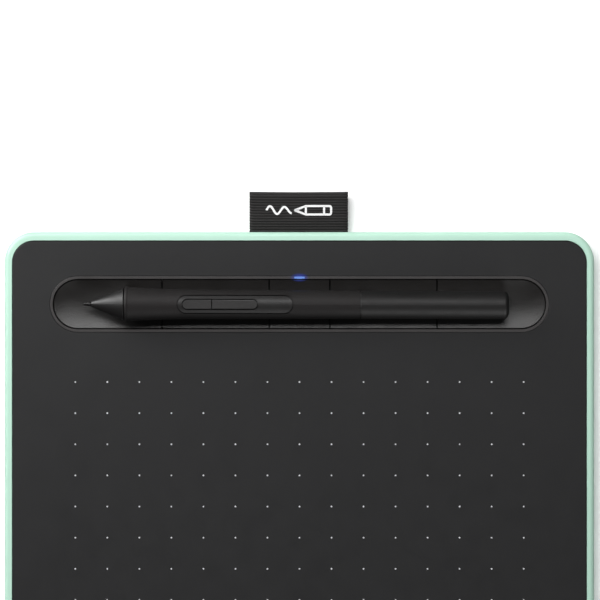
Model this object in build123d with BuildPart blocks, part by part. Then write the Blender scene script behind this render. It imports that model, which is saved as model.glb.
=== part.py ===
from build123d import *
import os
from math import asin, cos, degrees, radians, sin

# Small pen tablet with its pen lying in the tray behind the drawing surface.
# Millimetres. +Z is up and +Y points to the rear edge, where the fabric pen loop hangs out.
# The origin is on the desk, under the centre of the bounding box (case plus loop).

os.makedirs("parts", exist_ok=True)

# ---------------------------------------------------------------- driving dimensions

# case
WIDTH = 200.0
DEPTH = 160.0
HEIGHT = 8.8  # desk to drawing surface
CORNER = 10.0  # plan radius of the case corners
LOOP_OUT = 13.8  # how far the loop sticks out behind the case
CASE_Y = -LOOP_OUT / 2
REAR = CASE_Y + DEPTH / 2
FRONT = CASE_Y - DEPTH / 2

# bottom shell
SHELL_BOTTOM = 0.6
FLOOR_TOP = 1.9
RIM = 2.52  # width of the coloured rim round the drawing surface
RIM_REAR = 0.35  # the rim is this much wider along the rear edge
RIM_TOP = 8.7
RIM_ROUND = 1.5
RIM_LIP = 0.1  # bevel of the rim's inner edge
BELLY_ROUND = 3.5
LEDGE = 3.6  # wall thickness under the cover
SPLIT_GAP = 0.3  # between the cover and the rim

# top cover
COVER_BOTTOM = 7.2
COVER_ROUND = 0.2
COVER_BEVEL = 0.1  # bevel round the tray
COVER_STEP_TOP = 8.1  # a step round the cover all but closes the gap below this height
COVER_STEP_GAP = 0.06

# tray: every outline is a slot about the same two end centres
TRAY_Y = REAR - 24.465
TRAY_ENDS = 75.13  # the end centres, either side of the middle
KEY_EDGE = 8.2  # half width of the keys
FRAME_IN = 8.53
FRAME_OUT = 9.48
FRAME_TOP = 8.78
FRAME_ROUND = 0.14
FRAME_FLANGE = 12.2
FRAME_STEP = 9.7  # the frame is wider inside below its ledge, for the flange of the keys
LEDGE_Z = 6.55
FLANGE_BOTTOM = 6.0
COVER_CUT = 9.54
TRAY_FLOOR = 7.21
SCOOP_R = 30.0
SCOOP_Z = TRAY_FLOOR + SCOOP_R  # height of the scoop's axis
KEY_SKIN = 1.2
KEY_SEAM = 0.46
SEAM_INNER = 10.3  # power button to its neighbours
SEAM_OUTER = 46.65  # second key to end key
KEY_BEVEL = 0.15

# boards
BOARD_BOTTOM = 2.4
BOARD_TOP = 3.2
DOME_TOP = 4.05
SENSOR_BOTTOM = 6.32
SENSOR_TOP = 7.12
SHIELD_BOTTOM = 6.0
SHIELD_TOP = 6.3
SENSOR_Y = REAR - 98.35
ACTIVE_WIDTH = 152.0
ACTIVE_DEPTH = 95.0
BOARD_REAR = REAR - 8.75
BOARD_FRONT = TRAY_Y - 11.0

# fasteners and feet
POST_X = 84.0
POST_IN = 9.0  # from the front and rear edges to the screw posts
POST_R = 3.0
PILLAR_R = 2.2  # under the main board, and the cover's own posts
COVER_POST_BOTTOM = 4.4
FOOT_LENGTH = 24.0
FOOT_WIDTH = 8.0
FOOT_TOP = 1.1
SCREW_R = 1.0
SCREW_HEAD_R = 1.9
SCREW_SEAT = 2.2
BOARD_SCREW_R = 0.8
RUNNING = 0.02  # radial clearance of a screw in its hole

# socket at the rear edge
USB_X = 44.0
USB_WIDTH = 7.5
USB_HIGH = 2.65
USB_GRIP_WIDTH = 11.6  # recess for the plug's grip
USB_GRIP_HIGH = 6.0
USB_GRIP_DEEP = 1.0

# loop ribbon
LOOP_X = -0.25
RIBBON_WIDTH = 33.6
RIBBON = 0.9  # thickness
RIBBON_Z = 4.6

# pen: distances u run along its axis from the nib's tip
PEN_LENGTH = 143.45
PEN_X = -72.9  # the nib's tip
PEN_ASIDE = 0.08  # the nib's tip lies this far behind the tray's middle
COLLAR_U = 14.6  # middle of the collar, the widest place, which rests on the tray
COLLAR_R = 5.96
COLLAR_FRONT = 13.95
COLLAR_BEVEL = 0.3
COLLAR_FLAT = 0.4
SHOULDER_U = 14.95  # where the barrel's curve starts behind the collar
SHOULDER_R = 5.84
WAIST_U = 37.5
WAIST_R = 5.0
JOIN_U = 93.4
JOIN_R = 4.78
REAR_R = 4.7
PEN_BORE = 4.25
REST_GAP = 0.12  # between the pen and the tray floor
BEZEL_U = 51.2
BEZEL_LENGTH = 38.7
BEZEL_WIDTH = 5.78
BEZEL_GROOVE = 0.28  # width of the groove round the bezel
BEZEL_GROOVE_R = 4.4  # the groove goes down to this radius
BUTTONS_U = 46.1
BUTTONS_LENGTH = 25.0
BUTTONS_WIDTH = 3.06
BUTTON_GAP = 0.35  # round the two buttons
BUTTON_SEAM_U = 43.35
BUTTON_SEAM = 0.15  # half the gap between the two buttons
BUTTON_PROUD = 0.35
BUTTON_TRAVEL = 0.3
REAR_ROUND = 1.5

# the pen leans a little, because its rear end is thinner than its collar, and lies slightly askew
PEN_TILT = degrees(asin((COLLAR_R - REAR_R) / (PEN_LENGTH - REAR_ROUND - COLLAR_U)))
PEN_TURN = 0.17
LEAN_X = cos(radians(PEN_TILT))
LEAN_Z = sin(radians(PEN_TILT))
TURN_X = cos(radians(PEN_TURN))
TURN_Y = -sin(radians(PEN_TURN))
PEN_Z = TRAY_FLOOR + REST_GAP + COLLAR_R + COLLAR_U * LEAN_Z
PEN = Plane(
    origin=(PEN_X, TRAY_Y + PEN_ASIDE, PEN_Z),
    x_dir=(LEAN_X * TURN_X, LEAN_X * TURN_Y, -LEAN_Z),
    z_dir=(LEAN_Z * TURN_X, LEAN_Z * TURN_Y, LEAN_X),
)
PEN_SIDE = Plane(origin=PEN.origin, x_dir=PEN.x_dir, z_dir=-PEN.y_dir)
PEN_AXIS = Axis(PEN.origin, PEN.x_dir)


# ---------------------------------------------------------------- helpers


def save(built, name):
    """Labels a finished piece and writes its STEP file."""
    built.part.label = name
    export_step(built.part, f"parts/{name}.step")


def case_sketch(inset, height, rear=0.0):
    """The case outline in plan, moved in by inset, and by rear more at the rear edge."""
    with BuildSketch(Plane.XY.offset(height)) as outline:
        with Locations((0, CASE_Y - rear / 2)):
            RectangleRounded(WIDTH - 2 * inset, DEPTH - 2 * inset - rear, CORNER - inset)
    return outline.sketch


def tray_sketch(half_width, height, hole=0.0):
    """The tray outline in plan on the plane at this height, as a ring if hole is given."""
    with BuildSketch(Plane.XY.offset(height)) as outline:
        with Locations((0, TRAY_Y)):
            SlotCenterToCenter(2 * TRAY_ENDS, 2 * half_width)
            if hole:
                SlotCenterToCenter(2 * TRAY_ENDS, 2 * hole, mode=Mode.SUBTRACT)
    return outline.sketch


def capsule(radius):
    """A round bar on the scoop's axis with ball ends, which hollows out the tray."""
    side = Plane(origin=(0, TRAY_Y, SCOOP_Z), x_dir=(1, 0, 0), z_dir=(0, -1, 0))
    with BuildPart(mode=Mode.PRIVATE) as bar:
        with BuildSketch(side):
            with BuildLine():
                Line((-TRAY_ENDS - radius, 0), (TRAY_ENDS + radius, 0))
                RadiusArc((TRAY_ENDS + radius, 0), (TRAY_ENDS, radius), -radius)
                Line((TRAY_ENDS, radius), (-TRAY_ENDS, radius))
                RadiusArc((-TRAY_ENDS, radius), (-TRAY_ENDS - radius, 0), -radius)
            make_face()
        revolve(axis=Axis((0, TRAY_Y, SCOOP_Z), (1, 0, 0)))
    return bar.part


def turned(points):
    """A piece turned about the pen's axis, from its (u, radius) outline."""
    with BuildPart(mode=Mode.PRIVATE) as piece:
        with BuildSketch(PEN_SIDE):
            with BuildLine():
                Polyline(*points, close=True)
            make_face()
        revolve(axis=PEN_AXIS)
    return piece.part


def tube(start, end, inner, outer):
    """A plain tube round the pen's axis."""
    return turned([(start, inner), (end, inner), (end, outer), (start, outer)])


def barrel_body(extra=0.0):
    """The front barrel's solid of revolution, before it is bored; extra grows its radius."""
    with BuildPart(mode=Mode.PRIVATE) as body:
        with BuildSketch(PEN_SIDE):
            with BuildLine():
                slope = (JOIN_R - WAIST_R) / (JOIN_U - WAIST_U)
                TangentArc(
                    (WAIST_U, WAIST_R + extra),
                    (SHOULDER_U, SHOULDER_R + extra),
                    tangent=(-1, -slope),
                )
                Polyline(
                    (SHOULDER_U, SHOULDER_R + extra),
                    (COLLAR_U + COLLAR_FLAT / 2, COLLAR_R + extra),
                    (COLLAR_U - COLLAR_FLAT / 2, COLLAR_R + extra),
                    (COLLAR_FRONT, COLLAR_R + extra - COLLAR_BEVEL),
                    (COLLAR_FRONT, 0),
                    (JOIN_U, 0),
                    (JOIN_U, JOIN_R + extra),
                    (WAIST_U, WAIST_R + extra),
                )
            make_face()
        revolve(axis=PEN_AXIS)
    return body.part


# ---------------------------------------------------------------- case

POSTS = [(x, y) for x in (-POST_X, POST_X) for y in (FRONT + POST_IN, REAR - POST_IN)]
BOARD_SCREWS = [(x, y) for x in (-70, 70) for y in (TRAY_Y - 7.0, TRAY_Y + 12.0)]
STAKES = [(x, TRAY_Y + y) for x in (-66, -24, 24, 66) for y in (-10.9, 10.9)]
STAKE_R = 0.7
BATTERY_X = -30.0
BATTERY_Y = -16.0
BATTERY_WIDTH = 58.0
BATTERY_DEPTH = 48.0
BATTERY_HIGH = 3.3
LEAD_X = -22.0
RIB = 1.0
RIB_PLACES = [(x, SENSOR_Y) for x in (-72, 12, 42, 72)]
RIB_LENGTH = 92.0
CROSS_RIB_Y = SENSOR_Y - 36
FENCE_IN = 0.5  # room round the battery
FENCE_OUT = 1.5
FENCE_HIGH = 1.6

with BuildPart() as bottom_shell:
    add(case_sketch(0, SHELL_BOTTOM))
    extrude(amount=RIM_TOP - SHELL_BOTTOM)
    fillet(bottom_shell.faces().sort_by(Axis.Z)[-1].edges(), RIM_ROUND)
    fillet(bottom_shell.faces().sort_by(Axis.Z)[0].edges(), BELLY_ROUND)
    add(case_sketch(LEDGE, FLOOR_TOP))
    extrude(amount=HEIGHT, mode=Mode.SUBTRACT)
    add(case_sketch(RIM, COVER_BOTTOM, RIM_REAR))
    extrude(amount=HEIGHT, mode=Mode.SUBTRACT)
    rim_face = bottom_shell.faces().filter_by(Plane.XY).sort_by(Axis.Z)[-1]
    chamfer(rim_face.inner_wires()[0].edges(), RIM_LIP)
    # posts for the case screws
    with BuildSketch(Plane.XY.offset(FLOOR_TOP)):
        with Locations(*POSTS):
            Circle(POST_R)
    extrude(amount=COVER_POST_BOTTOM - FLOOR_TOP - 0.1)
    with BuildSketch(Plane.XY.offset(SHELL_BOTTOM)):
        with Locations(*POSTS):
            Circle(SCREW_HEAD_R + 0.2)
    extrude(amount=SCREW_SEAT - SHELL_BOTTOM, mode=Mode.SUBTRACT)
    with BuildSketch(Plane.XY.offset(SCREW_SEAT)):
        with Locations(*POSTS):
            Circle(SCREW_R + 0.1)
    extrude(amount=3, mode=Mode.SUBTRACT)
    # pockets for the feet
    with BuildSketch(Plane.XY.offset(SHELL_BOTTOM)):
        with Locations(*POSTS):
            SlotOverall(FOOT_LENGTH + 0.3, FOOT_WIDTH + 0.3)
    extrude(amount=FOOT_TOP - SHELL_BOTTOM, mode=Mode.SUBTRACT)
    # pillars for the main board
    with BuildSketch(Plane.XY.offset(FLOOR_TOP)):
        with Locations(*BOARD_SCREWS):
            Circle(PILLAR_R)
    extrude(amount=BOARD_BOTTOM - FLOOR_TOP)
    with BuildSketch(Plane.XY.offset(1.0)):
        with Locations(*BOARD_SCREWS):
            Circle(BOARD_SCREW_R + RUNNING)
    extrude(amount=2, mode=Mode.SUBTRACT)
    # ribs that carry the shield plate, and a low fence round the battery
    with BuildSketch(Plane.XY.offset(FLOOR_TOP)):
        with Locations(*RIB_PLACES):
            Rectangle(RIB, RIB_LENGTH)
        with Locations((0, CROSS_RIB_Y)):
            Rectangle(RIB_PLACES[-1][0] - RIB_PLACES[0][0], RIB)
    extrude(amount=SHIELD_BOTTOM - FLOOR_TOP)
    with BuildSketch(Plane.XY.offset(FLOOR_TOP)):
        with Locations((BATTERY_X, BATTERY_Y)):
            Rectangle(BATTERY_WIDTH + 2 * FENCE_OUT, BATTERY_DEPTH + 2 * FENCE_OUT)
            Rectangle(BATTERY_WIDTH + 2 * FENCE_IN, BATTERY_DEPTH + 2 * FENCE_IN, mode=Mode.SUBTRACT)
        with Locations((LEAD_X, BATTERY_Y + BATTERY_DEPTH / 2)):
            Rectangle(8, 6, mode=Mode.SUBTRACT)
    extrude(amount=FENCE_HIGH)
    # anvil under the ribbon, then its slot through the rear wall
    with BuildSketch(Plane.XY.offset(FLOOR_TOP)):
        with Locations((LOOP_X, REAR - LEDGE - 2)):
            Rectangle(RIBBON_WIDTH + 4, 4)
    extrude(amount=RIBBON_Z - RIBBON - FLOOR_TOP)
    with BuildSketch(Plane.XZ.offset(-REAR - 1)):
        with Locations((LOOP_X, RIBBON_Z)):
            SlotOverall(RIBBON_WIDTH + 1.0, 2 * RIBBON + 0.4)
    extrude(amount=LEDGE + 1.2, mode=Mode.SUBTRACT)
    # mouth of the socket, with a shallow recess for the plug's grip
    with BuildSketch(Plane.XZ.offset(-REAR - 1)):
        with Locations((USB_X, BOARD_TOP + USB_HIGH / 2)):
            RectangleRounded(USB_WIDTH + 0.4, USB_HIGH + 0.4, 0.6)
    extrude(amount=LEDGE + 1.5, mode=Mode.SUBTRACT)
    with BuildSketch(Plane.XZ.offset(-REAR - 1)):
        with Locations((USB_X, BOARD_TOP + USB_HIGH / 2)):
            RectangleRounded(USB_GRIP_WIDTH, USB_GRIP_HIGH, 2.0)
    extrude(amount=1 + USB_GRIP_DEEP, mode=Mode.SUBTRACT)
save(bottom_shell, "bottom_shell")

with BuildPart() as top_cover:
    add(case_sketch(RIM + SPLIT_GAP, COVER_BOTTOM, RIM_REAR))
    extrude(amount=HEIGHT - COVER_BOTTOM)
    fillet(top_cover.faces().sort_by(Axis.Z)[-1].edges(), COVER_ROUND)
    add(case_sketch(RIM + COVER_STEP_GAP, COVER_BOTTOM, RIM_REAR))
    extrude(amount=COVER_STEP_TOP - COVER_BOTTOM)
    add(tray_sketch(COVER_CUT, COVER_BOTTOM - 1))
    extrude(amount=4, mode=Mode.SUBTRACT)
    tray_edge = top_cover.faces().sort_by(Axis.Z)[-1].inner_wires()[0].edges()
    chamfer(tray_edge, COVER_BEVEL)
    # screw posts
    with BuildSketch(Plane.XY.offset(COVER_POST_BOTTOM)):
        with Locations(*POSTS):
            Circle(PILLAR_R)
    extrude(amount=COVER_BOTTOM - COVER_POST_BOTTOM)
    with BuildSketch(Plane.XY.offset(COVER_POST_BOTTOM)):
        with Locations(*POSTS):
            Circle(SCREW_R + RUNNING)
    extrude(amount=3.2, mode=Mode.SUBTRACT)
    # stakes melted over under the tray frame's flange
    with BuildSketch(Plane.XY.offset(FLANGE_BOTTOM - 0.05)):
        with Locations(*STAKES):
            Circle(STAKE_R)
    extrude(amount=COVER_BOTTOM - FLANGE_BOTTOM + 0.05)
    with BuildSketch(Plane.XY.offset(FLANGE_BOTTOM - 0.55)):
        with Locations(*STAKES):
            Circle(1.2)
    extrude(amount=0.5)
save(top_cover, "top_cover")

# ---------------------------------------------------------------- tray frame and light

GUIDE_WIDTH = 3.5
GUIDE_IN = 8.7
GUIDE_OUT = 9.34
GUIDE_ROOM = 0.3  # round the guide, in the flange of the power button
GUIDE_BOTTOM = BOARD_TOP + 0.65

with BuildPart() as tray_frame:
    add(tray_sketch(FRAME_OUT, LEDGE_Z, FRAME_IN))
    extrude(amount=FRAME_TOP - LEDGE_Z)
    fillet(tray_frame.faces().sort_by(Axis.Z)[-1].edges(), FRAME_ROUND)
    add(tray_sketch(FRAME_FLANGE, LEDGE_Z, FRAME_IN))
    extrude(amount=COVER_BOTTOM - LEDGE_Z)
    add(tray_sketch(FRAME_FLANGE, FLANGE_BOTTOM, FRAME_STEP))
    extrude(amount=LEDGE_Z - FLANGE_BOTTOM)
    with BuildSketch(Plane.XY.offset(FLANGE_BOTTOM)):
        with Locations(*STAKES):
            Circle(STAKE_R + 0.05)
    extrude(amount=2, mode=Mode.SUBTRACT)
    # window for the light guide
    with BuildSketch(Plane.XY.offset(LEDGE_Z - 0.1)):
        with Locations((0, TRAY_Y + (FRAME_IN + GUIDE_OUT) / 2)):
            Rectangle(GUIDE_WIDTH + 0.1, GUIDE_OUT - FRAME_IN + 0.1)
    extrude(amount=4, mode=Mode.SUBTRACT)
save(tray_frame, "tray_frame")

with BuildPart() as light_guide:
    with BuildSketch(Plane.XY.offset(GUIDE_BOTTOM)):
        with Locations((0, TRAY_Y + (GUIDE_IN + GUIDE_OUT) / 2)):
            Rectangle(GUIDE_WIDTH, GUIDE_OUT - GUIDE_IN)
    extrude(amount=FRAME_TOP - GUIDE_BOTTOM)
    chamfer(light_guide.faces().sort_by(Axis.Z)[-1].edges(), 0.08)
save(light_guide, "light_guide")

with BuildPart() as status_led:
    with BuildSketch(Plane.XY.offset(BOARD_TOP)):
        with Locations((0, TRAY_Y + (GUIDE_IN + GUIDE_OUT) / 2)):
            Rectangle(1.6, 0.8)
    extrude(amount=0.6)
save(status_led, "status_led")

# ---------------------------------------------------------------- keys of the tray

SKIRT_IN = 7.5
SKIRT_BOTTOM = 5.9
SKIRT_TOP = 7.4  # where the skirt runs into the skin
FLANGE_EDGE = 9.3
FLANGE_TOP = 6.42

# one scooped skin with a flange that catches under the frame's ledge, cut into the five keys
with BuildPart() as tray_skin:
    add(tray_sketch(KEY_EDGE, TRAY_FLOOR - KEY_SKIN - 1))
    extrude(amount=HEIGHT)
    add(capsule(SCOOP_R + KEY_SKIN), mode=Mode.INTERSECT)
    add(capsule(SCOOP_R), mode=Mode.SUBTRACT)
    add(tray_sketch(KEY_EDGE, SKIRT_BOTTOM, SKIRT_IN))
    extrude(amount=SKIRT_TOP - SKIRT_BOTTOM)
    add(tray_sketch(FLANGE_EDGE, SKIRT_BOTTOM, SKIRT_IN))
    extrude(amount=FLANGE_TOP - SKIRT_BOTTOM)
    with BuildSketch(Plane.XY.offset(SKIRT_BOTTOM)):
        with Locations((0, TRAY_Y + (GUIDE_IN + GUIDE_OUT) / 2)):
            Rectangle(GUIDE_WIDTH + 2 * GUIDE_ROOM, GUIDE_OUT - GUIDE_IN + 2 * GUIDE_ROOM)
    extrude(amount=FLANGE_TOP - SKIRT_BOTTOM, mode=Mode.SUBTRACT)

TRAY_END = TRAY_ENDS + FLANGE_EDGE + 1
# name, low x, high x, dome x
KEYS = [
    ("shortcut_key_1", -TRAY_END, -SEAM_OUTER, -65.0),
    ("shortcut_key_2", -SEAM_OUTER, -SEAM_INNER, -30.0),
    ("power_button", -SEAM_INNER, SEAM_INNER, 0.0),
    ("shortcut_key_3", SEAM_INNER, SEAM_OUTER, 30.0),
    ("shortcut_key_4", SEAM_OUTER, TRAY_END, 65.0),
]

for name, low, high, dome_x in KEYS:
    with BuildPart() as key:
        add(tray_skin.part)
        with Locations(((low + high) / 2, TRAY_Y, TRAY_FLOOR)):
            Box(high - low - KEY_SEAM, 4 * KEY_EDGE, 4 * KEY_EDGE, mode=Mode.INTERSECT)
        # break the upper edge all round
        crest = key.edges().filter_by(lambda e: e.bounding_box().min.Z > TRAY_FLOOR + 0.6)
        chamfer(crest, KEY_BEVEL)
        # plunger over the dome
        with BuildSketch(Plane.XY.offset(DOME_TOP)):
            with Locations((dome_x, TRAY_Y)):
                Circle(1.5)
        extrude(amount=TRAY_FLOOR - KEY_SKIN - DOME_TOP + 0.3)
    save(key, name)

    with BuildPart() as dome:
        side_plane = Plane(origin=(dome_x, TRAY_Y, 0), x_dir=(1, 0, 0), z_dir=(0, -1, 0))
        with BuildSketch(side_plane):
            with BuildLine():
                Polyline(
                    (3.2, BOARD_TOP),
                    (3.2, BOARD_TOP + 0.2),
                    (1.4, DOME_TOP),
                    (0, DOME_TOP),
                    (0, DOME_TOP - 0.35),
                    (1.1, DOME_TOP - 0.35),
                    (2.5, BOARD_TOP),
                    close=True,
                )
            make_face()
        revolve(axis=Axis((dome_x, TRAY_Y, 0), (0, 0, 1)))
    save(dome, name.replace("shortcut_key", "key_dome").replace("power_button", "power_dome"))

# ---------------------------------------------------------------- boards and battery

with BuildPart() as sensor_board:
    with BuildSketch(Plane.XY.offset(SENSOR_BOTTOM)):
        with Locations((0, SENSOR_Y)):
            Rectangle(ACTIVE_WIDTH + 10, ACTIVE_DEPTH + 12)
    extrude(amount=SENSOR_TOP - SENSOR_BOTTOM)
save(sensor_board, "sensor_board")

with BuildPart() as shield_plate:
    with BuildSketch(Plane.XY.offset(SHIELD_BOTTOM)):
        with Locations((0, SENSOR_Y - 2.5)):
            Rectangle(ACTIVE_WIDTH + 8, ACTIVE_DEPTH + 4)
    extrude(amount=SHIELD_TOP - SHIELD_BOTTOM)
save(shield_plate, "shield_plate")

with BuildPart() as main_board:
    with BuildSketch(Plane.XY.offset(BOARD_BOTTOM)):
        with Locations((0, (BOARD_FRONT + BOARD_REAR) / 2)):
            Rectangle(152, BOARD_REAR - BOARD_FRONT)
        with Locations((USB_X, (BOARD_REAR + REAR - LEDGE - 0.4) / 2 - 0.5)):
            Rectangle(14, REAR - LEDGE - 0.4 - BOARD_REAR + 1)
        with Locations(*BOARD_SCREWS):
            Circle(BOARD_SCREW_R + 0.15, mode=Mode.SUBTRACT)
    extrude(amount=BOARD_TOP - BOARD_BOTTOM)
save(main_board, "main_board")

# parts on the main board: name, x, y, width, depth, height
CHIPS = [
    ("microcontroller", 24.0, BOARD_REAR - 5.0, 7.0, 7.0, 0.9),
    ("wireless_module", -44.0, BOARD_REAR - 4.2, 14.0, 8.0, 1.4),
    ("battery_connector", LEAD_X, BOARD_FRONT + 1.6, 5.0, 2.8, 1.9),
    ("ribbon_connector", 60.0, BOARD_FRONT + 1.8, 14.0, 3.2, 1.2),
]
for name, x, y, width, depth, high in CHIPS:
    with BuildPart() as chip:
        with BuildSketch(Plane.XY.offset(BOARD_TOP)):
            with Locations((x, y)):
                Rectangle(width, depth)
        extrude(amount=high)
        chamfer(chip.faces().sort_by(Axis.Z)[-1].edges(), 0.15)
    save(chip, name)

with BuildPart() as sensor_ribbon:
    with BuildSketch(Plane.YZ.offset(60)):
        with BuildLine():
            FilletPolyline(
                (25.4, SENSOR_BOTTOM - 0.1),
                (31.0, SENSOR_BOTTOM - 0.1),
                (34.4, BOARD_TOP + 0.6),
                (BOARD_FRONT + 0.2, BOARD_TOP + 0.6),
                radius=1.2,
            )
        trace(line_width=0.2)
    extrude(amount=6, both=True)
save(sensor_ribbon, "sensor_ribbon")

with BuildPart() as battery:
    with BuildSketch(Plane.XY.offset(FLOOR_TOP + 0.05)):
        with Locations((BATTERY_X, BATTERY_Y)):
            RectangleRounded(BATTERY_WIDTH, BATTERY_DEPTH, 2)
    extrude(amount=BATTERY_HIGH)
    fillet(battery.faces().sort_by(Axis.Z)[-1].edges(), 1.0)
save(battery, "battery")

LEAD_R = 0.55
with BuildPart() as battery_lead:
    for x in (LEAD_X - 0.65, LEAD_X + 0.65):
        with BuildLine():
            lead_start = (x, BATTERY_Y + BATTERY_DEPTH / 2, 3.2)
            FilletPolyline(
                lead_start,
                (x, 16.0, 3.2),
                (x, 25.0, 2.6),
                (x, 33.0, 4.1),
                (x, BOARD_FRONT + 0.2, 4.1),
                radius=6,
            )
        with BuildSketch(Plane(origin=lead_start, z_dir=(0, 1, 0))):
            Circle(LEAD_R)
        sweep()
save(battery_lead, "battery_lead")

# ---------------------------------------------------------------- socket

USB_Z = BOARD_TOP + USB_HIGH / 2
USB_MOUTH = REAR - 0.9
USB_DEEP = 5.6

with BuildPart() as usb_socket:
    with BuildSketch(Plane.XZ.offset(-USB_MOUTH)):
        with BuildLine():
            half = USB_WIDTH / 2
            Polyline(
                (USB_X - half, BOARD_TOP + 0.9),
                (USB_X - half + 0.8, BOARD_TOP),
                (USB_X + half - 0.8, BOARD_TOP),
                (USB_X + half, BOARD_TOP + 0.9),
                (USB_X + half, BOARD_TOP + USB_HIGH),
                (USB_X - half, BOARD_TOP + USB_HIGH),
                close=True,
            )
        make_face()
        offset(amount=-0.3, mode=Mode.SUBTRACT)
    extrude(amount=USB_DEEP)
save(usb_socket, "usb_socket")

with BuildPart() as usb_tongue:
    with BuildSketch(Plane.XZ.offset(-USB_MOUTH + 0.6)):
        with Locations((USB_X, USB_Z + 0.3)):
            Rectangle(3.8, 0.6)
    extrude(amount=USB_DEEP - 0.6)
    with BuildSketch(Plane.XZ.offset(-USB_MOUTH + 4.6)):
        with Locations((USB_X, USB_Z + 0.2)):
            Rectangle(5.2, 1.5)
    extrude(amount=1.0)
save(usb_tongue, "usb_tongue")

# ---------------------------------------------------------------- loop

# the ribbon's two layers are sewn together inside the case and part into a shallow loop outside
OPEN = 0.8  # half the height of the loop's opening
RIBBON_IN = REAR - LEDGE - 3.8
FOLD_Y = REAR + LOOP_OUT - OPEN - RIBBON
SPLIT_Y = REAR + 1.0
FULL_Y = REAR + 5.0


def ribbon_profile(half, root):
    """Closed side outline that runs through the root points and round the fold."""
    rising = [*root, (FULL_Y, half), (FOLD_Y, half)]
    falling = [(y, -z) for y, z in reversed(rising) if z]
    Polyline(*[(y, RIBBON_Z + z) for y, z in falling + rising])
    ThreePointArc(
        (FOLD_Y, RIBBON_Z - half), (FOLD_Y + half, RIBBON_Z), (FOLD_Y, RIBBON_Z + half)
    )


with BuildPart() as pen_loop:
    with BuildSketch(Plane.YZ.offset(LOOP_X)):
        with BuildLine():
            ribbon_profile(OPEN + RIBBON, [(RIBBON_IN, RIBBON), (SPLIT_Y, RIBBON)])
        make_face()
        with BuildLine():
            ribbon_profile(OPEN, [(SPLIT_Y, 0)])
        make_face(mode=Mode.SUBTRACT)
    extrude(amount=RIBBON_WIDTH / 2, both=True)
save(pen_loop, "pen_loop")

with BuildPart() as loop_clamp:
    with BuildSketch(Plane.XY.offset(RIBBON_Z + RIBBON)):
        with Locations((LOOP_X, REAR - LEDGE - 2)):
            RectangleRounded(RIBBON_WIDTH + 2, 3.4, 0.8)
    extrude(amount=COVER_BOTTOM - RIBBON_Z - RIBBON)
save(loop_clamp, "loop_clamp")

# ---------------------------------------------------------------- screws and feet

with BuildPart() as case_screws:
    with BuildSketch(Plane.XY.offset(SCREW_SEAT)):
        with Locations(*POSTS):
            Circle(SCREW_HEAD_R)
    extrude(amount=-0.9)
    with BuildSketch(Plane.XY.offset(SCREW_SEAT)):
        with Locations(*POSTS):
            Circle(SCREW_R)
    extrude(amount=4.8)
    with BuildSketch(Plane.XY.offset(SCREW_SEAT - 0.9)):
        with Locations(*POSTS):
            Rectangle(2.2, 0.5)
            Rectangle(0.5, 2.2)
    extrude(amount=0.45, mode=Mode.SUBTRACT)
save(case_screws, "case_screws")

with BuildPart() as board_screws:
    with BuildSketch(Plane.XY.offset(BOARD_TOP)):
        with Locations(*BOARD_SCREWS):
            Circle(1.5)
    extrude(amount=0.6)
    with BuildSketch(Plane.XY.offset(BOARD_TOP)):
        with Locations(*BOARD_SCREWS):
            Circle(BOARD_SCREW_R)
    extrude(amount=-2.1)
save(board_screws, "board_screws")

for name, place in zip(("front_left", "rear_left", "front_right", "rear_right"), POSTS):
    with BuildPart() as foot:
        with BuildSketch():
            with Locations(place):
                SlotOverall(FOOT_LENGTH, FOOT_WIDTH)
        extrude(amount=FOOT_TOP)
        fillet(foot.faces().sort_by(Axis.Z)[0].edges(), 0.3)
    save(foot, f"foot_{name}")

# ---------------------------------------------------------------- pen, outside

CONE_TIP_U = 2.75
CONE_END_U = 13.6
CONE_TIP_R = 1.1
CONE_END_R = 5.45
NIB_R = 0.8
NIB_BORE = 0.85
NIB_END_U = 24.0
SOCKET_U = 98.6  # the chassis is a push fit in the rear barrel up to here
SOCKET_R = 4.2
STORE_U = 122.0  # end of the chassis, with the holes for the spare nibs
STORE_R = 3.6
PULLER_U = 134.0
PULLER_R = 1.4

with BuildPart() as pen_nib:
    with BuildSketch(PEN_SIDE):
        with BuildLine():
            RadiusArc((0, 0), (0.55, 0.55), 0.55)
            Line((0.55, 0.55), (2.2, NIB_R))
            Line((2.2, NIB_R), (NIB_END_U, NIB_R))
            Line((NIB_END_U, NIB_R), (NIB_END_U, 0))
            Line((NIB_END_U, 0), (0, 0))
        make_face()
    revolve(axis=PEN_AXIS)
save(pen_nib, "pen_nib")

with BuildPart() as nose_cone:
    add(
        turned(
            [
                (CONE_TIP_U, NIB_BORE),
                (CONE_TIP_U, CONE_TIP_R),
                (CONE_END_U, CONE_END_R),
                (CONE_END_U, 4.2),
                (19.6, 4.2),
                (19.6, 3.4),
                (10.4, 3.4),
                (4.6, 1.05),
                (4.6, NIB_BORE),
            ]
        )
    )
    rim = nose_cone.edges().filter_by(GeomType.CIRCLE).sort_by(lambda e: e.radius)[-1]
    fillet(rim, 0.15)
save(nose_cone, "nose_cone")


def pen_slot(centre_u, length, width, low, high):
    """An upright prism over a slot outline in the pen's plan."""
    with BuildPart(mode=Mode.PRIVATE) as prism:
        with BuildSketch(PEN.offset(low)):
            with Locations((centre_u, 0)):
                SlotOverall(length, width)
        extrude(amount=high - low)
    return prism.part


with BuildPart() as front_barrel:
    add(barrel_body())
    add(tube(13.0, JOIN_U + 1, 0, PEN_BORE), mode=Mode.SUBTRACT)
    add(pen_slot(BEZEL_U, BEZEL_LENGTH + 0.1, BEZEL_WIDTH + 0.1, 1, 9), mode=Mode.SUBTRACT)
    groove = pen_slot(BEZEL_U, BEZEL_LENGTH + 2 * BEZEL_GROOVE, BEZEL_WIDTH + 2 * BEZEL_GROOVE, 1, 9)
    add(groove & tube(20, 90, BEZEL_GROOVE_R, 6), mode=Mode.SUBTRACT)
save(front_barrel, "front_barrel")

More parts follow.
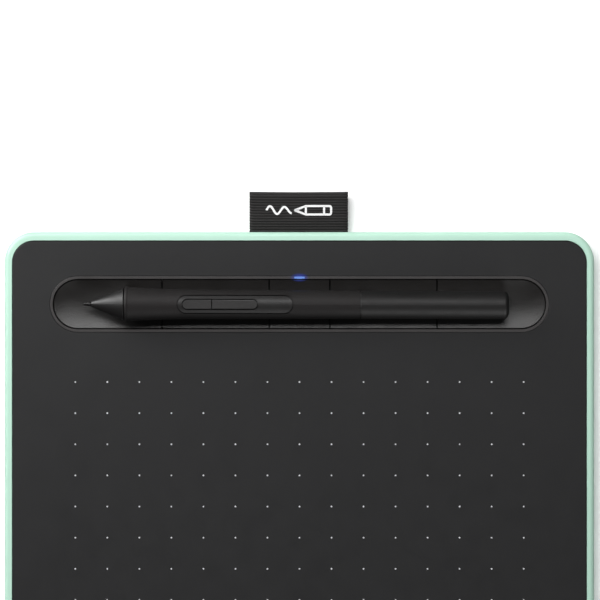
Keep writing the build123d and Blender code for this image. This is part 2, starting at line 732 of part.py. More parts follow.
BEZEL_IN = 3.9
with BuildPart() as switch_bezel:
    add(pen_slot(BEZEL_U, BEZEL_LENGTH, BEZEL_WIDTH, 1, 9))
    add(barrel_body(), mode=Mode.INTERSECT)
    add(tube(20, 90, 0, BEZEL_IN), mode=Mode.SUBTRACT)
    opening = pen_slot(BUTTONS_U, BUTTONS_LENGTH + 2 * BUTTON_GAP, BUTTONS_WIDTH + 2 * BUTTON_GAP, 1, 9)
    add(opening, mode=Mode.SUBTRACT)
save(switch_bezel, "switch_bezel")

# two side buttons, with a flattened top and a flange that stays under the bezel
BUTTON_IN = 3.35
BUTTON_FLAT = 5.15
PLUNGER_BOTTOM = 1.75
BUTTON_START_U = BUTTONS_U - BUTTONS_LENGTH / 2
BUTTON_END_U = BUTTONS_U + BUTTONS_LENGTH / 2
SIDE_BUTTONS = [
    ("side_button_front", BUTTON_START_U - 2, BUTTON_SEAM_U - BUTTON_SEAM),
    ("side_button_rear", BUTTON_SEAM_U + BUTTON_SEAM, BUTTON_END_U + 2),
]
for name, low, high in SIDE_BUTTONS:
    with BuildPart() as button:
        add(pen_slot(BUTTONS_U, BUTTONS_LENGTH, BUTTONS_WIDTH, 1, BUTTON_FLAT))
        add(barrel_body(BUTTON_PROUD), mode=Mode.INTERSECT)
        flange = pen_slot(BUTTONS_U, BUTTONS_LENGTH + 1.3, BUTTONS_WIDTH + 1.2, 1, 9)
        add(flange & tube(20, 90, 0, BEZEL_IN - 0.05))
        add(tube(20, 90, 0, BUTTON_IN), mode=Mode.SUBTRACT)
        with BuildSketch(PEN):
            with Locations(((low + high) / 2, 0)):
                Rectangle(high - low, 12)
        extrude(amount=10, mode=Mode.INTERSECT)
        with BuildSketch(PEN.offset(PLUNGER_BOTTOM)):
            with Locations(((max(low, BUTTON_START_U) + min(high, BUTTON_END_U)) / 2, 0)):
                Circle(0.8)
        extrude(amount=BUTTON_IN - PLUNGER_BOTTOM + 0.3)
    save(button, name)

with BuildPart() as rear_barrel:
    add(
        turned(
            [
                (JOIN_U + 0.3, SOCKET_R),
                (JOIN_U + 0.3, JOIN_R - 0.03),
                (JOIN_U + 6.0, REAR_R),
                (PEN_LENGTH, REAR_R),
                (PEN_LENGTH, PULLER_R),
                (PULLER_U, PULLER_R),
                (PULLER_U, STORE_R + 0.15),
                (SOCKET_U + 0.4, STORE_R + 0.15),
                (SOCKET_U + 0.4, SOCKET_R),
            ]
        )
    )
    end_edges = rear_barrel.edges().filter_by(GeomType.CIRCLE).sort_by(PEN_AXIS)
    fillet(end_edges.filter_by(lambda e: abs(e.radius - REAR_R) < 0.01)[-1], REAR_ROUND)
save(rear_barrel, "rear_barrel")

with BuildPart() as nib_puller:
    add(tube(PULLER_U, PEN_LENGTH - 0.2, 0.9, PULLER_R))
save(nib_puller, "nib_puller")

# ---------------------------------------------------------------- pen, inside

COIL_END_U = 16.4
FERRITE_R = 1.65

with BuildPart() as nib_holder:
    add(
        turned(
            [
                (20.0, NIB_R),
                (20.0, 1.5),
                (26.0, 1.5),
                (26.0, 0),
                (NIB_END_U + 0.1, 0),
                (NIB_END_U + 0.1, NIB_R),
            ]
        )
    )
save(nib_holder, "nib_holder")

with BuildPart() as ferrite_core:
    add(tube(6.5, COIL_END_U, 0.95, FERRITE_R))
save(ferrite_core, "ferrite_core")

with BuildPart() as antenna_coil:
    add(tube(9.0, COIL_END_U - 0.6, FERRITE_R, 2.6))
save(antenna_coil, "antenna_coil")

with BuildPart() as pressure_sensor:
    add(tube(26.5, 33.0, 0, 2.4))
save(pressure_sensor, "pressure_sensor")

CHASSIS_FLAT = -0.4
CHASSIS_R = 4.1
CRADLE_END_U = 86.0  # the board lies open between the coil and here
PEN_BOARD_HIGH = 0.8
NIB_STORE_R = 1.85  # radius of the circle of spare nibs

with BuildPart() as pen_chassis:
    add(
        turned(
            [
                (COIL_END_U, 0),
                (COIL_END_U, 3.3),
                (19.8, 3.3),
                (19.8, CHASSIS_R),
                (CRADLE_END_U, CHASSIS_R),
                (CRADLE_END_U, 0),
            ]
        )
    )
    with BuildSketch(PEN.offset(CHASSIS_FLAT)):
        with Locations((53.0, 0)):
            Rectangle(69.0, 12)
    extrude(amount=9, mode=Mode.SUBTRACT)
    add(tube(15.0, 20.0, 0, 0.95), mode=Mode.SUBTRACT)
    add(tube(18.4, 33.2, 0, 2.45), mode=Mode.SUBTRACT)
    add(
        turned(
            [
                (CRADLE_END_U, 0),
                (CRADLE_END_U, CHASSIS_R),
                (SOCKET_U, CHASSIS_R),
                (SOCKET_U, STORE_R),
                (STORE_U, STORE_R),
                (STORE_U, 0),
            ]
        )
    )
    nib_face = Plane(
        origin=PEN.from_local_coords((STORE_U, 0, 0)), x_dir=PEN.y_dir, z_dir=PEN.x_dir
    )
    with BuildSketch(nib_face):
        with PolarLocations(NIB_STORE_R, 3):
            Circle(NIB_BORE)
    extrude(amount=-20.6, mode=Mode.SUBTRACT)
save(pen_chassis, "pen_chassis")

with BuildPart() as spare_nibs:
    with BuildSketch(nib_face.offset(-20.5)):
        with PolarLocations(NIB_STORE_R, 3):
            Circle(NIB_R)
    extrude(amount=NIB_END_U)
save(spare_nibs, "spare_nibs")

with BuildPart() as pen_board:
    with BuildSketch(PEN.offset(CHASSIS_FLAT)):
        with Locations((59.5, 0)):
            Rectangle(51.0, 7.4)
    extrude(amount=PEN_BOARD_HIGH)
save(pen_board, "pen_board")

with BuildPart() as side_switches:
    with BuildSketch(PEN.offset(CHASSIS_FLAT + PEN_BOARD_HIGH)):
        for low, high in ((BUTTON_START_U, BUTTON_SEAM_U), (BUTTON_SEAM_U, BUTTON_END_U)):
            with Locations(((low + high) / 2, 0)):
                Rectangle(4.0, 3.0)
    extrude(amount=PLUNGER_BOTTOM - BUTTON_TRAVEL - 0.05 - CHASSIS_FLAT - PEN_BOARD_HIGH)
save(side_switches, "side_switches")

print("pen tilt", round(PEN_TILT, 3), "deg, tip", [round(c, 3) for c in PEN.origin])
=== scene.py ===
import math

import bmesh
import bpy
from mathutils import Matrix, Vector


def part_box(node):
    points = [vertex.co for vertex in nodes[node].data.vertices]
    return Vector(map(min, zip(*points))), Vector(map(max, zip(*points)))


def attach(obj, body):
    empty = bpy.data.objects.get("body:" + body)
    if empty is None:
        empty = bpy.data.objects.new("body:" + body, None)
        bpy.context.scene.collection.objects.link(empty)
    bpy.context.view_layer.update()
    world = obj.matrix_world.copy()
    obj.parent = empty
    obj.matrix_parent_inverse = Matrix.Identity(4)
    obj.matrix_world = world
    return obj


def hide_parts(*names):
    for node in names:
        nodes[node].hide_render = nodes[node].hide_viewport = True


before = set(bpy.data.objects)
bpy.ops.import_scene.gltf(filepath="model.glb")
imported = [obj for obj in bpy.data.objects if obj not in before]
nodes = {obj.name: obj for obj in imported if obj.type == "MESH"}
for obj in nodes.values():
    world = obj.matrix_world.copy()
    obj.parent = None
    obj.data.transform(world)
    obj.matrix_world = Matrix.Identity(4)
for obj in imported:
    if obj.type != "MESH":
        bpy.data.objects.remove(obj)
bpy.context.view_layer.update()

MM = 0.001
LOOP_LOW, LOOP_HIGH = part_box("pen_loop")
BOARD_LOW, BOARD_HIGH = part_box("sensor_board")
GUIDE_LOW, GUIDE_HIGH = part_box("light_guide")
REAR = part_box("bottom_shell")[1].y
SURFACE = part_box("top_cover")[1].z


# ---------------------------------------------------------------- small helpers


def linear(red, green, blue):
    """A colour given as 0 to 255 display values, as the linear RGBA that shaders take."""
    channels = [value / 255 for value in (red, green, blue)]
    curve = [c / 12.92 if c <= 0.04045 else ((c + 0.055) / 1.055) ** 2.4 for c in channels]
    return (*curve, 1.0)


def scaled(colour, factor):
    """The same colour, made lighter or darker."""
    return (*[min(1.0, c * factor) for c in colour[:3]], 1.0)


def smooth_mesh(mesh, angle=40):
    """Smooth shading, apart from edges sharper than angle."""
    for polygon in mesh.polygons:
        polygon.use_smooth = True
    mesh.set_sharp_from_angle(angle=math.radians(angle))


def piece(name, mesh_data, material, body):
    """Finishes a new mesh piece: links it, gives it its material and lets it ride on a body."""
    mesh = bpy.data.meshes.new(name)
    mesh_data.to_mesh(mesh)
    mesh_data.free()
    made = bpy.data.objects.new(name, mesh)
    bpy.context.scene.collection.objects.link(made)
    mesh.materials.append(material)
    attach(made, body)
    return made


# ---------------------------------------------------------------- material tools


class Finish:
    """A Principled material with the few procedural layers that the tablet's finishes share."""

    def __init__(self, name, colour, roughness, **sockets):
        self.material = bpy.data.materials.new(name)
        self.material.use_nodes = True
        self.tree = self.material.node_tree
        self.shader = self.tree.nodes["Principled BSDF"]
        self.shader.inputs["Roughness"].default_value = roughness
        self.shader.inputs["Base Color"].default_value = colour
        for socket, value in sockets.items():
            self.shader.inputs[socket.replace("_", " ")].default_value = value
        self.colour = colour
        self.roughness = roughness
        self.colour_out = None
        self.place = self.node("ShaderNodeTexCoord").outputs["Object"]

    def node(self, kind, **settings):
        """A new node with its properties set."""
        made = self.tree.nodes.new(kind)
        for key, value in settings.items():
            setattr(made, key, value)
        return made

    def link(self, output, target):
        self.tree.links.new(output, target)

    def noise(self, size, detail=2.0, stretch=(1, 1, 1)):
        """Noise whose features are about size metres across, stretched along the axes."""
        mapping = self.node("ShaderNodeMapping")
        mapping.inputs["Scale"].default_value = [1 / (size * s) for s in stretch]
        self.link(self.place, mapping.inputs["Vector"])
        texture = self.node("ShaderNodeTexNoise")
        texture.inputs["Scale"].default_value = 1.0
        texture.inputs["Detail"].default_value = detail
        self.link(mapping.outputs["Vector"], texture.inputs["Vector"])
        return texture.outputs["Fac"]

    def spread(self, source, low, high, start=0.3, end=0.7):
        """Maps a 0 to 1 value on to low to high, from its start to its end."""
        ramp = self.node("ShaderNodeMapRange")
        ramp.inputs["From Min"].default_value = start
        ramp.inputs["From Max"].default_value = end
        ramp.inputs["To Min"].default_value = low
        ramp.inputs["To Max"].default_value = high
        self.link(source, ramp.inputs["Value"])
        return ramp.outputs["Result"]

    def tint(self, source, colour, low, high):
        """Blends another colour in, where the source value is high."""
        mix = self.node("ShaderNodeMix", data_type="RGBA")
        if self.colour_out is None:
            mix.inputs["A"].default_value = self.colour
        else:
            self.link(self.colour_out, mix.inputs["A"])
        mix.inputs["B"].default_value = colour
        self.link(self.spread(source, low, high), mix.inputs["Factor"])
        self.colour_out = mix.outputs["Result"]
        self.link(self.colour_out, self.shader.inputs["Base Color"])

    def vary_roughness(self, source, amount):
        """Lets the roughness wander by amount either side of its value."""
        spread = self.spread(source, self.roughness - amount, self.roughness + amount)
        self.link(spread, self.shader.inputs["Roughness"])

    def bump(self, source, depth):
        """Adds relief of this depth in metres, on top of any relief before it."""
        bump = self.node("ShaderNodeBump")
        bump.inputs["Distance"].default_value = depth
        bump.inputs["Strength"].default_value = 1.0
        self.link(source, bump.inputs["Height"])
        before = self.shader.inputs["Normal"]
        if before.is_linked:
            self.link(before.links[0].from_socket, bump.inputs["Normal"])
        self.link(bump.outputs["Normal"], before)

    def painted_lamp_glow(self, point, squash, reach, colour, strength):
        """Painted glow: emission round a lamp that stands in for the lamp's light falling on the surfaces
        near it; squash shortens each axis's distance.
        """
        away = self.node("ShaderNodeVectorMath", operation="SUBTRACT")
        away.inputs[1].default_value = point
        self.link(self.place, away.inputs[0])
        scale = self.node("ShaderNodeVectorMath", operation="MULTIPLY")
        scale.inputs[1].default_value = squash
        self.link(away.outputs["Vector"], scale.inputs[0])
        length = self.node("ShaderNodeVectorMath", operation="LENGTH")
        self.link(scale.outputs["Vector"], length.inputs[0])
        shine = self.spread(length.outputs["Value"], strength, 0.0, 0.0, reach)
        self.shader.inputs["Emission Color"].default_value = colour
        self.link(shine, self.shader.inputs["Emission Strength"])


MOTTLE_SIZE = 14 * MM
GLOSS_PATCH = 6 * MM
GLOSS_RANGE = 0.04


def moulded(name, colour, roughness, grain, depth, mottle=0.12, **sockets):
    """Moulded plastic: fine spark-eroded grain, faint mottling and uneven gloss."""
    finish = Finish(name, colour, roughness, **sockets)
    fine = finish.noise(grain, 3.0)
    finish.tint(fine, scaled(colour, 1 + 2 * mottle), 0.0, 0.5)
    finish.tint(finish.noise(MOTTLE_SIZE, 2.0), scaled(colour, 1 - mottle), 0.0, 0.6)
    finish.vary_roughness(finish.noise(GLOSS_PATCH, 3.0), GLOSS_RANGE)
    finish.bump(fine, depth)
    return finish


# ---------------------------------------------------------------- materials

LAMP_POINT = ((GUIDE_LOW.x + GUIDE_HIGH.x) / 2, (GUIDE_LOW.y + GUIDE_HIGH.y) / 2, GUIDE_HIGH.z)
LAMP_BLUE = (0.012, 0.045, 0.5, 1.0)

mint = moulded("mint_plastic", linear(193, 232, 213), 0.42, 0.22 * MM, 0.006 * MM, 0.03)
film = moulded("surface_film", linear(25, 25, 26), 0.58, 0.16 * MM, 0.02 * MM, 0.1)
frame_black = moulded("frame_black", linear(58, 56, 56), 0.42, 0.15 * MM, 0.01 * MM)
key_satin = moulded(
    "key_satin", linear(20, 18, 17), 0.37, 0.35 * MM, 0.05 * MM, 0.3, Specular_IOR_Level=1.0
)
pen_matte = moulded(
    "pen_soft_matt", linear(32, 30, 30), 0.56, 0.12 * MM, 0.01 * MM, Specular_IOR_Level=0.28
)
cone_satin = moulded("cone_satin", linear(24, 23, 23), 0.47, 0.1 * MM, 0.006 * MM, 0.08)
pen_gloss = moulded("pen_gloss", linear(22, 21, 21), 0.5, 0.1 * MM, 0.002 * MM, 0.05)
bezel_black = moulded("bezel_black", linear(33, 32, 32), 0.42, 0.1 * MM, 0.004 * MM, 0.05)
button_black = moulded("button_black", linear(41, 40, 40), 0.5, 0.1 * MM, 0.006 * MM)
nib_black = moulded("nib_plastic", linear(24, 23, 23), 0.3, 0.08 * MM, 0.004 * MM)
inner_black = moulded("inner_plastic", linear(70, 70, 70), 0.5, 0.2 * MM, 0.01 * MM)
rubber = moulded("foot_rubber", linear(40, 40, 41), 0.75, 0.25 * MM, 0.03 * MM, 0.2)

# painted glow: the blue lamp's light on the nearby cover film, frame and keys, drawn as emission on them
for near_lamp in (film, frame_black, key_satin):
    near_lamp.painted_lamp_glow(LAMP_POINT, (0.5, 1, 1), 1.6 * MM, LAMP_BLUE, 0.8)

steel = Finish("stamped_steel", (0.55, 0.55, 0.56, 1), 0.3, Metallic=1.0)
steel.bump(steel.noise(0.15 * MM, 2.0, (8, 1, 1)), 0.004 * MM)
steel.vary_roughness(steel.noise(1.5 * MM), 0.08)

lamp = Finish("lamp_guide", (0.02, 0.04, 0.12, 1), 0.25)
lamp.shader.inputs["Emission Color"].default_value = (0.23, 0.4, 1.0, 1)
lamp.shader.inputs["Emission Strength"].default_value = 0.64

board_black = moulded("solder_mask", (0.012, 0.016, 0.014, 1), 0.35, 0.3 * MM, 0.004 * MM)
chip_black = moulded("chip_plastic", (0.02, 0.02, 0.02, 1), 0.5, 0.1 * MM, 0.004 * MM)
silicone = moulded("silicone", (0.5, 0.5, 0.5, 1), 0.6, 0.3 * MM, 0.005 * MM, 0.04)
flex_film = moulded("flex_film", (0.7, 0.7, 0.66, 1), 0.4, 0.3 * MM, 0.003 * MM, 0.04)
lead_red = moulded("lead_red", (0.35, 0.02, 0.02, 1), 0.5, 0.2 * MM, 0.004 * MM)
foil = Finish("pouch_foil", (0.6, 0.6, 0.62, 1), 0.35, Metallic=1.0)
foil.bump(foil.noise(2.5 * MM, 3.0), 0.05 * MM)
copper = Finish("copper_wire", (0.55, 0.24, 0.1, 1), 0.3, Metallic=1.0)
copper.bump(copper.noise(0.2 * MM, 2.0, (1, 6, 6)), 0.02 * MM)
ferrite = moulded("ferrite", (0.05, 0.05, 0.05, 1), 0.6, 0.1 * MM, 0.01 * MM)

DRESS = {
    mint: ["bottom_shell"],
    film: ["top_cover"],
    frame_black: ["tray_frame"],
    key_satin: [n for n in nodes if n.startswith("shortcut_key")] + ["power_button"],
    lamp: ["light_guide", "status_led"],
    silicone: [n for n in nodes if "_dome" in n] + ["side_switches"],
    board_black: ["sensor_board", "main_board", "pen_board"],
    steel: ["shield_plate", "case_screws", "board_screws", "usb_socket", "nib_puller", "wireless_module"],
    chip_black: ["microcontroller", "battery_connector", "ribbon_connector", "usb_tongue"],
    flex_film: ["sensor_ribbon"],
    foil: ["battery"],
    lead_red: ["battery_lead"],
    inner_black: ["loop_clamp", "pen_chassis", "nib_holder", "pressure_sensor"],
    rubber: [n for n in nodes if n.startswith("foot_")],
    nib_black: ["pen_nib", "spare_nibs"],
    cone_satin: ["nose_cone"],
    pen_matte: ["front_barrel"],
    bezel_black: ["switch_bezel"],
    button_black: ["side_button_front", "side_button_rear"],
    pen_gloss: ["rear_barrel"],
    ferrite: ["ferrite_core"],
    copper: ["antenna_coil"],
}
for finish, names in DRESS.items():
    for name in names:
        data = nodes[name].data
        data.materials.clear()
        data.materials.append(finish.material)

# ---------------------------------------------------------------- fabric pen loop

RIBBON = 0.9 * MM  # thickness of one layer
RIB_PITCH = 0.92 * MM
RIB_HEIGHT = 0.36 * MM
RIB_STEPS = 8  # points along each rib
RIBBON_COLUMNS = 24
RIBBON_BOW = 0.12 * MM  # how far the middle of the fold lies in from its ends
EDGE_ROOM = 0.02 * MM
STRAIGHT_STEPS = 400
FOLD_STEPS = 60
OPENING_START = 0.5 * MM  # the layers part from here behind the case
OPENING_LENGTH = 5 * MM
RIBBON_HALF = (LOOP_HIGH.x - LOOP_LOW.x) / 2
RIBBON_X = (LOOP_HIGH.x + LOOP_LOW.x) / 2
RIBBON_MIDDLE = (LOOP_HIGH.z + LOOP_LOW.z) / 2
RIBBON_RISE = (LOOP_HIGH.z - LOOP_LOW.z - RIBBON) / 2  # of each layer's middle, where the loop is open
FOLD_Y = LOOP_HIGH.y - RIBBON / 2 - RIBBON_RISE


def ribbon_rise(y):
    """Height of the upper layer's middle above the loop's own middle, at this y."""
    share = min(1.0, max(0.0, (y - REAR - OPENING_START) / OPENING_LENGTH))
    ease = share * share * (3 - 2 * share)
    return RIBBON / 2 + (RIBBON_RISE - RIBBON / 2) * ease


def ribbon_path():
    """Even points along one layer, round the fold and back, as (y, z), from root to root."""
    reach = FOLD_Y - LOOP_LOW.y
    straight = [LOOP_LOW.y + reach * i / STRAIGHT_STEPS for i in range(STRAIGHT_STEPS + 1)]
    upper = [(y, RIBBON_MIDDLE + ribbon_rise(y)) for y in straight]
    turns = [math.pi * i / FOLD_STEPS for i in range(1, FOLD_STEPS)]
    fold = [
        (FOLD_Y + RIBBON_RISE * math.sin(a), RIBBON_MIDDLE + RIBBON_RISE * math.cos(a)) for a in turns
    ]
    lower = [(y, 2 * RIBBON_MIDDLE - z) for y, z in reversed(upper)]
    rough = upper + fold + lower
    lengths = [0.0]
    for a, b in zip(rough, rough[1:]):
        lengths.append(lengths[-1] + math.dist(a, b))
    count = round(lengths[-1] / RIB_PITCH * RIB_STEPS)
    path = []
    at = 0
    for i in range(count + 1):
        wanted = lengths[-1] * i / count
        while at < len(rough) - 2 and lengths[at + 1] < wanted:
            at += 1
        share = (wanted - lengths[at]) / max(lengths[at + 1] - lengths[at], 1e-12)
        path.append(
            (
                rough[at][0] + (rough[at + 1][0] - rough[at][0]) * share,
                rough[at][1] + (rough[at + 1][1] - rough[at][1]) * share,
            )
        )
    return path, lengths[-1]


def rib(step):
    """Height of the ribbed surface at this step: round ribs with narrow grooves between them."""
    return RIB_HEIGHT * (abs(math.sin(math.pi * step / RIB_STEPS)) - 1)


def ribbon_mesh(path):
    """The folded ribbon as a closed tube of two skins, ribbed outside and inside."""
    outline = []
    for side in (1, -1):
        skin = []
        for i, (y, z) in enumerate(path):
            before, after = path[max(i - 1, 0)], path[min(i + 1, len(path) - 1)]
            along = Vector((after[0] - before[0], after[1] - before[1])).normalized()
            out = Vector((-along.y, along.x)) * side
            reach = RIBBON / 2 + rib(i)
            skin.append((y + out.x * reach, z + out.y * reach, rib(i)))
        outline += skin if side == 1 else skin[::-1]
    made = bmesh.new()
    rows = []
    for column in range(RIBBON_COLUMNS + 1):
        across = 2 * column / RIBBON_COLUMNS - 1
        edge = max(0.0, abs(across) * RIBBON_COLUMNS - RIBBON_COLUMNS + 1)
        row = []
        for y, z, height in outline:
            reach = RIBBON_HALF - EDGE_ROOM + edge * height * 0.5
            bow = RIBBON_BOW * (1 - across * across) * max(0.0, (y - REAR) / (LOOP_HIGH.y - REAR))
            row.append(made.verts.new((RIBBON_X + across * reach, y - bow, z)))
        rows.append(row)
    for left, right in zip(rows, rows[1:]):
        for i in range(len(left)):
            j = (i + 1) % len(left)
            made.faces.new((left[i], left[j], right[j], right[i]))
    half = len(path)
    for row, turn in ((rows[0], False), (rows[-1], True)):
        for i in range(half - 1):
            corners = [row[i], row[i + 1], row[2 * half - 2 - i], row[2 * half - 1 - i]]
            made.faces.new(corners[::-1] if not turn else corners)
    bmesh.ops.recalc_face_normals(made, faces=made.faces)
    return made


grosgrain = Finish("grosgrain", linear(29, 27, 27), 0.7)
grosgrain.shader.inputs["Sheen Weight"].default_value = 0.1
grosgrain.shader.inputs["Sheen Roughness"].default_value = 0.4
threads = grosgrain.noise(0.16 * MM, 2.0, (1, 6, 6))
grosgrain.tint(threads, linear(22, 20, 20), 0.0, 0.7)
grosgrain.tint(grosgrain.noise(1.2 * MM, 3.0, (4, 1, 1)), linear(38, 36, 35), 0.0, 0.5)
grosgrain.bump(threads, 0.05 * MM)
grosgrain.bump(grosgrain.noise(0.1 * MM, 2.0), 0.02 * MM)

ribbon_points, ribbon_length = ribbon_path()
loop_ribbon = piece(
    "loop_ribbon", ribbon_mesh(ribbon_points), grosgrain.material, "tablet"
)
smooth_mesh(loop_ribbon.data, 75)
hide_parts("pen_loop")

# ---------------------------------------------------------------- generic mark on the loop

MARK_STROKE = 0.72 * MM
MARK_Y = REAR + 7.45 * MM
MARK_HEIGHT = 3.6 * MM
MARK_PROUD = 0.03 * MM  # the thread stands this far above the ribs
WAVE_START = -11.0 * MM
WAVE_LENGTH = 8.6 * MM
WAVE_TURNS = 1.75
WAVE_FADE = 0.3  # share of its height that the wave loses by its end
WAVE_STEPS = 60
PENCIL_TIP = -1.4 * MM
PENCIL_SHOULDER = 2.4 * MM
PENCIL_END = 11.0 * MM
PENCIL_CORNER = 0.7 * MM
FERRULE = PENCIL_END - 2.4 * MM
LEAD_START = PENCIL_TIP - 0.3 * MM
LEAD_END = PENCIL_TIP + 1.5 * MM
LEAD_HALF = 0.72 * MM
MARK_DIP = 0.25  # share of the ribs' relief that the stitched mark follows


def stroke(points):
    """A band of the mark's line width along open points, as one list of quads."""
    left, right = [], []
    for i, point in enumerate(points):
        before, after = points[max(i - 1, 0)], points[min(i + 1, len(points) - 1)]
        along = (Vector(after) - Vector(before)).normalized()
        out = Vector((-along.y, along.x)) * MARK_STROKE / 2
        left.append(Vector(point) + out)
        right.append(Vector(point) - out)
    return [
        (left[i], right[i], right[i + 1], left[i + 1]) for i in range(len(points) - 1)
    ]


def arc(centre, radius, start, end, steps=14):
    """Points on an arc, with angles in degrees."""
    angles = [math.radians(start + (end - start) * i / steps) for i in range(steps + 1)]
    return [(centre[0] + radius * math.cos(a), centre[1] + radius * math.sin(a)) for a in angles]


def mark_quads():
    """A lying pencil that draws a wavy line: a plain pictogram."""
    high = MARK_HEIGHT / 2 - MARK_STROKE / 2
    wave = []
    for i in range(WAVE_STEPS + 1):
        height = high * math.sin(2 * math.pi * WAVE_TURNS * i / WAVE_STEPS)
        wave.append(
            (WAVE_START + WAVE_LENGTH * i / WAVE_STEPS, height * (1 - WAVE_FADE * i / WAVE_STEPS))
        )
    inside = PENCIL_END - PENCIL_CORNER
    body = (
        [(PENCIL_TIP, 0), (PENCIL_SHOULDER, high)]
        + arc((inside, high - PENCIL_CORNER), PENCIL_CORNER, 90, 0)
        + arc((inside, PENCIL_CORNER - high), PENCIL_CORNER, 0, -90)
        + [(PENCIL_SHOULDER, -high), (PENCIL_TIP, 0)]
    )
    collar = [(PENCIL_SHOULDER, high), (PENCIL_SHOULDER, -high)]
    ferrule = [(FERRULE, high), (FERRULE, -high)]
    quads = stroke(wave) + stroke(body) + stroke(collar) + stroke(ferrule)
    lead = [(LEAD_START, 0), (LEAD_END, LEAD_HALF), (LEAD_END, -LEAD_HALF)]
    return quads + [tuple(Vector(p) for p in lead)]


def ribbon_top(y):
    """Height of the mark's underside at this y, read from the ribbon's own path."""
    upper = [(p, i) for i, p in enumerate(ribbon_points) if p[1] > RIBBON_MIDDLE]
    for (a, i), (b, _) in zip(upper, upper[1:]):
        if a[0] <= y <= b[0]:
            share = (y - a[0]) / (b[0] - a[0])
            lower, higher = a[1] + MARK_DIP * rib(i), b[1] + MARK_DIP * rib(i + 1)
            return lower + (higher - lower) * share + RIBBON / 2
    raise ValueError("the mark runs off the ribbon")


mark = bmesh.new()
for quad in mark_quads():
    mark.faces.new([mark.verts.new((p.x + RIBBON_X, p.y + MARK_Y, 0)) for p in quad])
cut = MARK_Y - MARK_HEIGHT
while cut < MARK_Y + MARK_HEIGHT:
    geometry = mark.verts[:] + mark.edges[:] + mark.faces[:]
    bmesh.ops.bisect_plane(mark, geom=geometry, plane_co=(0, cut, 0), plane_no=(0, 1, 0), dist=1e-8)
    cut += RIB_PITCH / RIB_STEPS
bmesh.ops.remove_doubles(mark, verts=mark.verts, dist=1e-7)
for vertex in mark.verts:
    vertex.co.z = ribbon_top(vertex.co.y) + MARK_PROUD
bmesh.ops.recalc_face_normals(mark, faces=mark.faces)

thread_white = Finish("mark_thread", linear(252, 252, 252), 0.6)
thread_white.tint(thread_white.noise(0.18 * MM, 2.0, (3, 1, 1)), linear(232, 232, 233), 0.0, 0.8)
thread_white.bump(thread_white.noise(0.15 * MM, 2.0, (3, 1, 1)), 0.03 * MM)
piece("loop_mark", mark, thread_white.material, "tablet")

# ---------------------------------------------------------------- dots on the drawing surface

DOT_COLUMNS, DOT_ROWS = 15, 10
DOT_RADIUS = 0.3 * MM
DOT_TOP_SHARE = 0.8  # a dot's flat top, as a share of its radius
DOT_CORNERS = 20
DOT_SINK = 0.005 * MM
DOT_PROUD = 0.02 * MM
BOARD_MARGIN_X = 5 * MM
BOARD_MARGIN_Y = 6 * MM
DOT_LOW = Vector((BOARD_LOW.x + BOARD_MARGIN_X, BOARD_LOW.y + BOARD_MARGIN_Y))
DOT_HIGH = Vector((BOARD_HIGH.x - BOARD_MARGIN_X, BOARD_HIGH.y - BOARD_MARGIN_Y))

dots = bmesh.new()
for column in range(DOT_COLUMNS):
    for row in range(DOT_ROWS):
        x = DOT_LOW.x + (DOT_HIGH.x - DOT_LOW.x) * column / (DOT_COLUMNS - 1)
        y = DOT_LOW.y + (DOT_HIGH.y - DOT_LOW.y) * row / (DOT_ROWS - 1)
        around = arc((x, y), DOT_RADIUS, 0, 360, DOT_CORNERS)[:-1]
        inner = arc((x, y), DOT_RADIUS * DOT_TOP_SHARE, 0, 360, DOT_CORNERS)[:-1]
        low = [dots.verts.new((*p, SURFACE - DOT_SINK)) for p in around]
        high = [dots.verts.new((*p, SURFACE + DOT_PROUD)) for p in inner]
        dots.faces.new(high)
        for i in range(len(low)):
            j = (i + 1) % len(low)
            dots.faces.new((low[i], low[j], high[j], high[i]))

dot_paint = Finish("dot_paint", linear(215, 216, 220), 0.5)
dot_paint.tint(dot_paint.noise(0.12 * MM, 2.0), linear(190, 191, 195), 0.0, 0.8)
dot_paint.bump(dot_paint.noise(0.1 * MM), 0.01 * MM)
piece("surface_dots", dots, dot_paint.material, "tablet")

# ---------------------------------------------------------------- camera, floor and light

VIEW_WIDTH = 203.4 * MM  # width seen at the drawing surface
VIEW_X = 0.17 * MM
VIEW_IN = 23.05 * MM  # the view's middle lies this far in front of the rear edge
LENS = 180
SENSOR = 36
FLOOR_HALF = 6
FLOOR_GAP = 0.02 * MM  # room between the feet and the floor

camera_data = bpy.data.cameras.new("camera")
camera_data.lens = LENS
camera_data.sensor_width = SENSOR
camera_data.clip_start = 0.05
camera_data.clip_end = 20
camera = bpy.data.objects.new("camera", camera_data)
camera.location = (VIEW_X, REAR - VIEW_IN, SURFACE + VIEW_WIDTH * LENS / SENSOR)
bpy.context.scene.collection.objects.link(camera)
bpy.context.scene.camera = camera


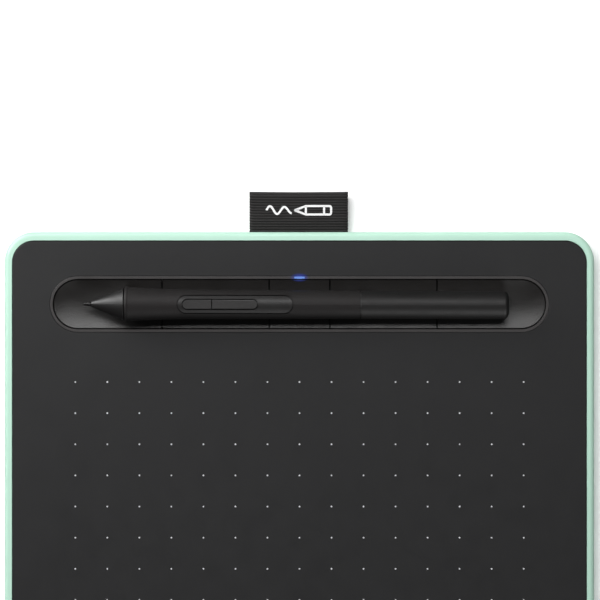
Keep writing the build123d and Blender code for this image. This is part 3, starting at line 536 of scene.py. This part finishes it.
def floor():
    """A wide pale floor, a hair under the feet."""
    data = bmesh.new()
    bmesh.ops.create_grid(data, x_segments=1, y_segments=1, size=FLOOR_HALF)
    mesh = bpy.data.meshes.new("floor")
    data.to_mesh(mesh)
    data.free()
    made = bpy.data.objects.new("floor", mesh)
    made.location.z = -FLOOR_GAP
    bpy.context.scene.collection.objects.link(made)
    pale = Finish("floor_white", (0.9, 0.9, 0.9, 1), 0.9)
    pale.shader.inputs["Emission Color"].default_value = (1, 1, 1, 1)
    pale.shader.inputs["Emission Strength"].default_value = 0.25
    mesh.materials.append(pale.material)
    made.visible_glossy = False


def softbox(name, tilt, turn, distance, size, power, seen=("diffuse", "glossy")):
    """A rectangular light aimed at the tray, tilt degrees from overhead, turned from the rear."""
    data = bpy.data.lights.new(name, "AREA")
    data.shape = "RECTANGLE"
    data.size, data.size_y = size
    data.energy = power
    light = bpy.data.objects.new(name, data)
    light.visible_diffuse = "diffuse" in seen
    light.visible_glossy = "glossy" in seen
    lean, swing = math.radians(tilt), math.radians(turn)
    direction = Vector(
        (math.sin(lean) * math.sin(swing), math.sin(lean) * math.cos(swing), math.cos(lean))
    )
    light.location = Vector((0, REAR - VIEW_IN, 0)) + direction * distance
    light.rotation_mode = "QUATERNION"
    light.rotation_quaternion = direction.to_track_quat("Z", "Y")
    bpy.context.scene.collection.objects.link(light)


floor()
softbox("key", 25.4, -20, 0.8, (0.4, 0.17), 5.8, ("diffuse",))
softbox("key_shine", 27, 0, 0.8, (0.8, 0.28), 2.35, ("glossy",))
softbox("left_fill", 62, -70, 1.0, (0.4, 0.3), 4.0, ("diffuse",))
softbox("left_card", 66, -56, 0.6, (0.4, 0.28), 4.2, ("glossy",))
softbox("front_card", 66, 158, 1.2, (0.5, 0.6), 5.0, ("glossy",))

world = bpy.data.worlds.new("studio")
world.use_nodes = True
world.node_tree.nodes["Background"].inputs["Color"].default_value = (1, 1, 1, 1)
world.node_tree.nodes["Background"].inputs["Strength"].default_value = 0.04
bpy.context.scene.world = world
bpy.context.scene.view_settings.view_transform = "Standard"
